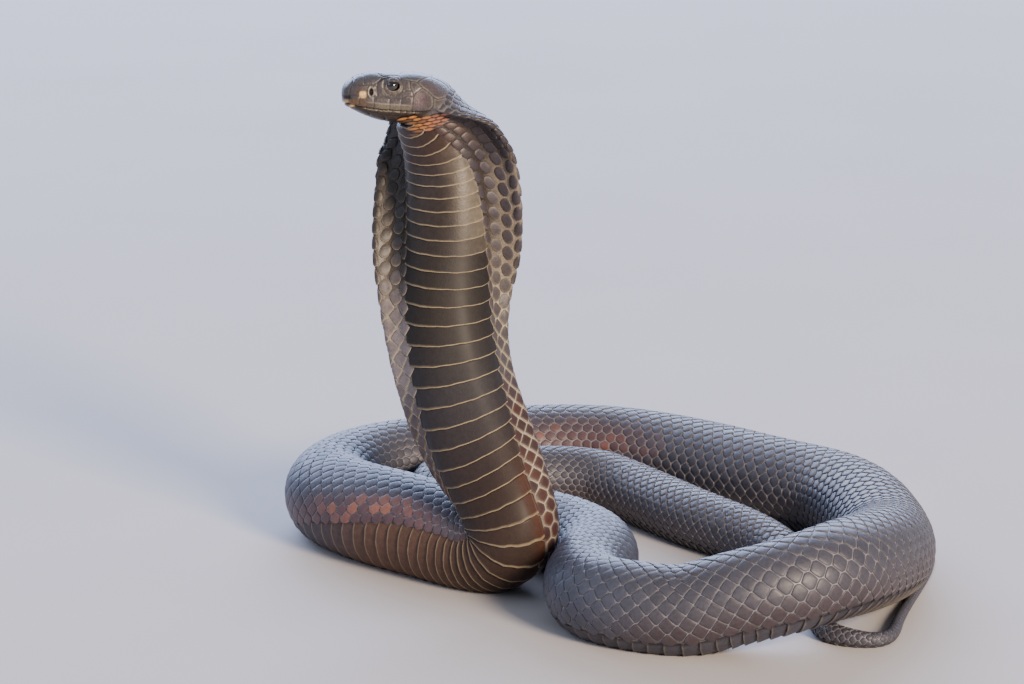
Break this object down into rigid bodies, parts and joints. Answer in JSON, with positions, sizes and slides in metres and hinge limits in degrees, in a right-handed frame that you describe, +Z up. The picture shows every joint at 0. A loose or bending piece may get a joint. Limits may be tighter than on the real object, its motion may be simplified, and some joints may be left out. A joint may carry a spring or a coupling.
{
  "type": "egyptian cobra",
  "caption": "Life-size still model of a snake reared up with its hood half spread, the head turned to the side and the long body laid in loops on the floor.",
  "frame": {"origin": "centre of the bounding box at floor level, under the flats that the coils rest on", "axes": "+Z up; -Y the side that the neck's belly scutes and the camera share; +X to the right of that view, so the head points along -X"},
  "size_m": [0.2888, 0.2892, 0.2281],
  "materials": {
    "head_plates": "glossy smooth head plates, slate with tan seams",
    "belly_scutes": "satin belly scutes, bronze brown with cream edges",
    "body_scales": "glossy overlapping scales, slate over pale skin",
    "eyes": "wet clear black eye"
  },
  "bodies": {
    "root": {"head": "head_plates", "jaw": "head_plates", "eye_left": "eyes", "eye_right": "eyes", "hood": "belly_scutes", "neck": "belly_scutes", "neck_bend": "belly_scutes", "coil_near": "belly_scutes", "coil_left": "body_scales", "coil_back_left": "body_scales", "coil_back_right": "body_scales", "coil_right": "body_scales", "coil_front_right": "body_scales", "coil_front": "body_scales", "coil_turn": "body_scales", "coil_inner": "body_scales", "coil_hairpin": "body_scales", "coil_middle": "body_scales", "tail_base": "body_scales", "tail": "body_scales", "tail_tip": "body_scales"}
  },
  "joints": []
}
